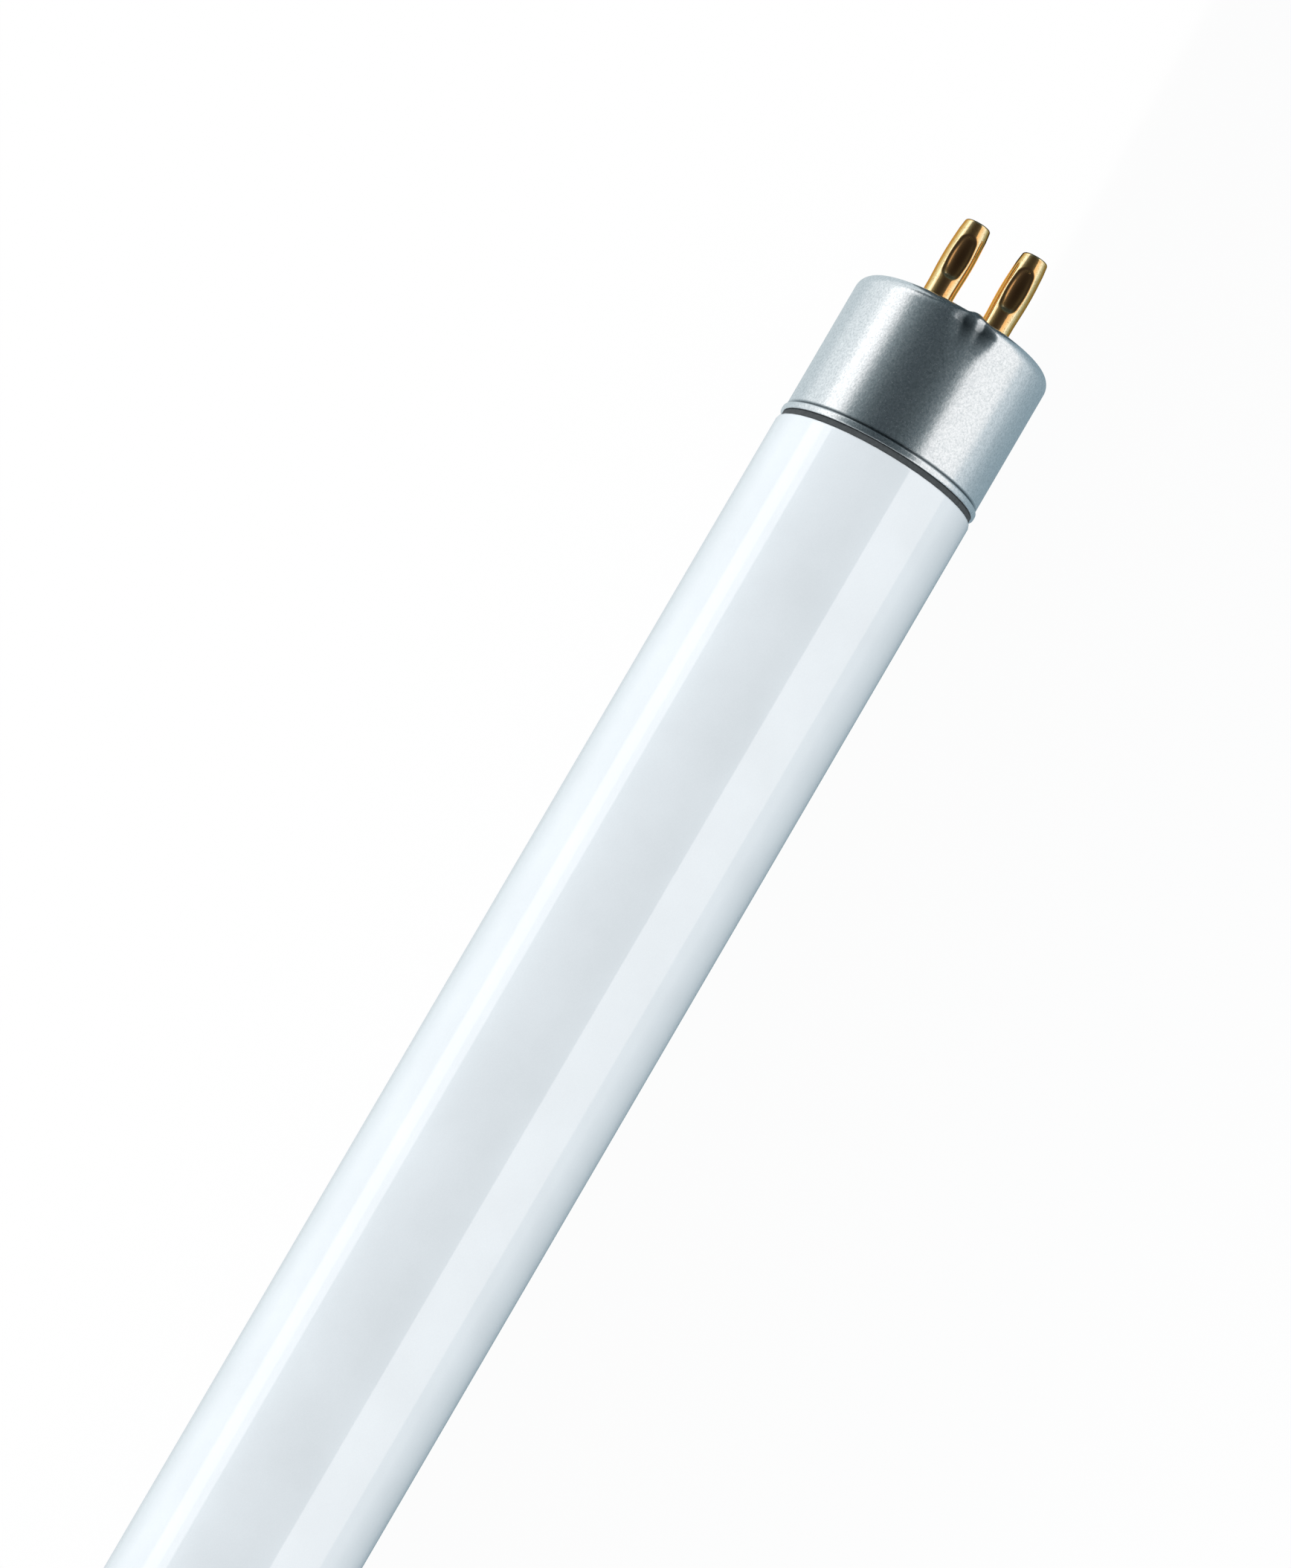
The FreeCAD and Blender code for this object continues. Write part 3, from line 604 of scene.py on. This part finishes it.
def drawn_cap(tag, far, material):
    """The drawn shell, with its stake mark pressed in on both of its faces."""
    plain = turned_grid(shell_profile(), shell_angles())
    grid = plain.copy()
    press_stake(grid)
    inwards = np.linalg.norm(grid, axis=2) < np.linalg.norm(plain, axis=2)
    depth = np.linalg.norm(grid - plain, axis=2) * inwards
    piece = grid_mesh(f"drawn_cap_{tag}", grid, depth, True, far, material)
    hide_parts(f"cap_shell_{tag}")


def pin_profile():
    corners = (
        (RIVET_X, AXIS_R, 0),
        (RIVET_X, RIVET_R, 0),
        (PLATE_X, RIVET_R, 0),
        (PLATE_X, SHANK_R, 0),
        (FACE_X, SHANK_R, 0),
        (FACE_X, PIN_R, 0),
        (PIN_ROUND_X, PIN_R, 0),
        (CRIMP_X, SWELL_R, SWELL_ROUND),
        (NOSE_X, NOSE_R, NOSE_ROUND),
        (TIP_X, TIP_R, TIP_ROUND),
        (TIP_X, AXIS_R, 0),
    )
    return divided(rounded(corners, False), False, lambda x: FINE if x > PIN_ROUND_X else PLAIN_PIN)


def crimped_form(profile):
    """The pin's turned form, with the barrel that presses the crimp taken out of it."""
    reach_x, end_x = PRESS_REACH, PRESS_REACH + PRESS_WAIST
    press = np.array([[p.x, p.y] for p in rounded((
        (CRIMP_X - end_x, 0, 0),
        (CRIMP_X - reach_x, PRESS_WAIST, PRESS_END_ROUND),
        (CRIMP_X, PRESS_GIRTH, PRESS_ROUND),
        (CRIMP_X + reach_x, PRESS_WAIST, PRESS_END_ROUND),
        (CRIMP_X + end_x, 0, 0),
    ), False)])
    outside = profile[(profile[:, 0] > PIN_ROUND_X) & (profile[:, 1] > NOSE_R - FINE)]
    outside = outside[np.argsort(outside[:, 0])]

    def form(points):
        skin = np.interp(points[:, 0], outside[:, 0], outside[:, 1])
        blank = np.hypot(points[:, 1], points[:, 2]) - skin
        barrel = np.interp(points[:, 0], press[:, 0], press[:, 1])
        return smooth_max(blank, barrel - np.hypot(points[:, 1], points[:, 2] - PRESS_Z), CRIMP_SOFT)

    return form


def crimped_pin(tag, side, far, material):
    """The pin's turned form with the crimp pressed into its upper side."""
    profile = pin_profile()
    plain = turned_grid(profile, np.linspace(0, 2 * math.pi, PIN_COLUMNS, endpoint=False))
    zone = plain.reshape(-1, 3).copy()
    along, up = zone[:, 0], zone[:, 2]
    mine = (along > PIN_ROUND_X) & (along < NOSE_X + CRIMP_PAST_NOSE) & (up > CRIMP_FROM_Z)
    points = zone[mine]
    normals = points * np.array([0, 1, 1])
    normals /= np.linalg.norm(normals, axis=1)[:, None]
    zone[mine] = settle(points, normals, crimped_form(profile), CRIMP_HIGH, CRIMP_DEEP)
    grid = zone.reshape(plain.shape)
    depth = np.linalg.norm(grid - plain, axis=2)
    grid[:, :, 1] += PIN_OFF if side == "left" else -PIN_OFF
    piece = grid_mesh(f"crimped_pin_{tag}_{side}", grid, depth, False, far, material)
    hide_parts(f"contact_pin_{tag}_{side}")


def finer_caps_and_pins(looks):
    for tag, far in (("a", False), ("b", True)):
        drawn_cap(tag, far, looks["cap_shell"])
        for side in ("left", "right"):
            crimped_pin(tag, side, far, looks["contact_pin"])


# Camera, light and floor
def make_camera():
    tilt = math.radians(VIEW_TILT_DEG)
    lean = math.radians(LEAN_DEG)
    forward = Vector((math.sin(tilt), 0, -math.cos(tilt)))
    along = Vector((math.cos(tilt), 0, math.sin(tilt)))   # the tube's axis as the camera sees it
    across = Vector((0, -1, 0))
    up = math.cos(lean) * along - math.sin(lean) * across
    right = math.sin(lean) * along + math.cos(lean) * across
    data = bpy.data.cameras.new("camera")
    data.sensor_width = SENSOR
    data.lens = SENSOR * CAMERA_DISTANCE / (IMAGE_H * MM_PER_PX * MM)
    data.clip_start, data.clip_end = 0.1, 100
    camera = bpy.data.objects.new("camera", data)
    axes = Matrix((right, up, -forward)).transposed()
    place = Vector(AIM) - forward * CAMERA_DISTANCE
    camera.matrix_world = Matrix.Translation(place) @ axes.to_4x4()
    bpy.context.scene.collection.objects.link(camera)
    bpy.context.scene.camera = camera


def make_world():
    """A plain white room, the same for the light on things and for what mirrors show."""
    world = bpy.data.worlds.new("studio")
    world.use_nodes = True
    set_sockets(world.node_tree.nodes["Background"], {"Color": (*WHITE, 1.0), "Strength": 1.0})
    bpy.context.scene.world = world


def softbox(name, angle_deg, width, radiance, glossy):
    """A long panel beside the tube, angle_deg from straight up and positive towards -Y."""
    angle = math.radians(angle_deg)
    away = Vector((0, -math.sin(angle), math.cos(angle)))
    light = bpy.data.lights.new(name, "AREA")
    light.shape = "RECTANGLE"
    light.size, light.size_y = LAMP_LENGTH, width
    light.energy = radiance * math.pi * width * LAMP_LENGTH
    lamp = bpy.data.objects.new(name, light)
    side = Vector((1, 0, 0))
    axes = Matrix((side, away.cross(side), away)).transposed()
    lamp.matrix_world = Matrix.Translation(Vector(LAMP_CENTRE) + away * LAMP_DISTANCE) @ axes.to_4x4()
    lamp.visible_glossy = glossy
    bpy.context.scene.collection.objects.link(lamp)


def flat_mesh(name, corners):
    mesh = bpy.data.meshes.new(name)
    mesh.from_pydata(corners, [], [tuple(range(len(corners)))])
    return mesh


def card_material(name, greys):
    """Light of one colour, or of greys along Y given as (place, colour) stops."""
    material = bpy.data.materials.new(name)
    material.use_nodes = True
    tree = material.node_tree
    tree.nodes.remove(tree.nodes["Principled BSDF"])
    glow = add(tree, "ShaderNodeEmission")
    if isinstance(greys[0], float):
        set_sockets(glow, {"Color": (*greys, 1.0)})
    else:
        place = add(tree, "ShaderNodeTexCoord")
        parts = add(tree, "ShaderNodeSeparateXYZ")
        link(tree, place.outputs["Object"], parts.inputs[0])
        link(tree, ramp(tree, parts.outputs["Y"], greys), glow.inputs["Color"])
    link(tree, glow.outputs[0], tree.nodes["Material Output"].inputs["Surface"])
    return material


def card(name, corners, greys, shade=False):
    """A flat card that only mirrors show, or as a shade one that only the light on things meets."""
    mesh = flat_mesh(name, corners)
    mesh.materials.append(card_material(name, greys))
    piece = bpy.data.objects.new(name, mesh)
    piece.visible_camera = piece.visible_shadow = piece.visible_transmission = False
    piece.visible_diffuse, piece.visible_glossy = shade, not shade
    bpy.context.scene.collection.objects.link(piece)


def level_card(name, low_y, high_y, z, greys, shade=False):
    """A level card as long as the room, between two places across the tube."""
    corners = [(CARD_BACK_X, low_y, z), (CARD_FRONT_X, low_y, z),
               (CARD_FRONT_X, high_y, z), (CARD_BACK_X, high_y, z)]
    card(name, corners, greys, shade)


def ceiling_card():
    """The dark ceiling, paler to both sides: angles are from straight up, positive towards -Y."""
    greys = (
        (33.0, (0.240, 0.290, 0.310)),
        (24.0, (0.125, 0.157, 0.172)),
        (12.0, (0.082, 0.103, 0.113)),
        (0.0, (0.062, 0.078, 0.086)),
        (-20.0, (0.056, 0.071, 0.080)),
        (-37.0, (0.088, 0.110, 0.120)),
        (-50.0, (0.172, 0.212, 0.228)),
        (-62.0, (0.34, 0.395, 0.415)),
    )
    stops = [(-CEILING_Z * math.tan(math.radians(angle)), grey) for angle, grey in greys]
    level_card("ceiling", stops[0][0], stops[-1][0], CEILING_Z, stops)


def end_cards():
    """Dark walls past both ends, and the dark strip of floor that leads to each."""
    dark = (0.05, 0.07, 0.08)
    level = FLOOR_Z + STRIP_LIFT
    low, high = END_WALL_LOW_Y, END_WALL_HIGH_Y
    for name, way in (("end_a", 1), ("end_b", -1)):
        far, near = way * CARD_FRONT_X, way * STRIP_X
        wall = [(far, low, 0), (far, high, 0), (far, high, CEILING_Z), (far, low, CEILING_Z)]
        strip = [(near, -STRIP_HALF, level), (near, STRIP_HALF, level),
                 (far, STRIP_FAR_Y, level), (far, low, level)]
        card(f"wall_{name}", wall, dark)
        card(f"strip_{name}", strip, dark)


def side_cards():
    """Grey cards on the floor along both sides of the tube, and the low grey wall on its right."""
    level = FLOOR_Z + CARD_LIFT
    foot, far = CARD_FOOT_Y, CARD_FAR_Y
    grey_right = (0.60, 0.67, 0.71)
    right = ((-0.08, grey_right), (-foot, (0.23, 0.32, 0.37)))
    shade = ((-SHADE_FAR_Y, WHITE), (-SHADE_MIDDLE_Y, (0.35, 0.42, 0.46)), (-foot, (0.08, 0.13, 0.16)))
    left = ((0.018, (0.60, 0.67, 0.70)), (0.030, (0.82, 0.87, 0.89)))
    wall = [(CARD_BACK_X, -far, level), (CARD_FRONT_X, -far, level),
            (CARD_FRONT_X, -far, RIGHT_WALL_Z), (CARD_BACK_X, -far, RIGHT_WALL_Z)]
    level_card("right_card", -far, -foot, level, right)
    level_card("right_shade", -SHADE_FAR_Y, -foot, level, shade, shade=True)
    card("right_wall", wall, grey_right)
    level_card("left_card", foot, far, level, left)


def make_floor():
    half = FLOOR_HALF
    mesh = flat_mesh("floor", [(x, y, FLOOR_Z) for x, y in
                               ((-half, -half), (half, -half), (half, half), (-half, half))])
    floor = bpy.data.objects.new("floor", mesh)
    mesh.materials.append(pale_floor())
    bpy.context.scene.collection.objects.link(floor)


finer_caps_and_pins(dress_nodes())

make_camera()
make_world()
make_floor()
ceiling_card()
end_cards()
side_cards()
softbox("left_glint", -80, width=0.28, radiance=0.35, glossy=True)
softbox("left_lamp", -88, width=0.36, radiance=2.0, glossy=False)
softbox("right_lamp", 40, width=0.40, radiance=0.30, glossy=False)

bpy.context.scene.view_settings.view_transform = "Standard"
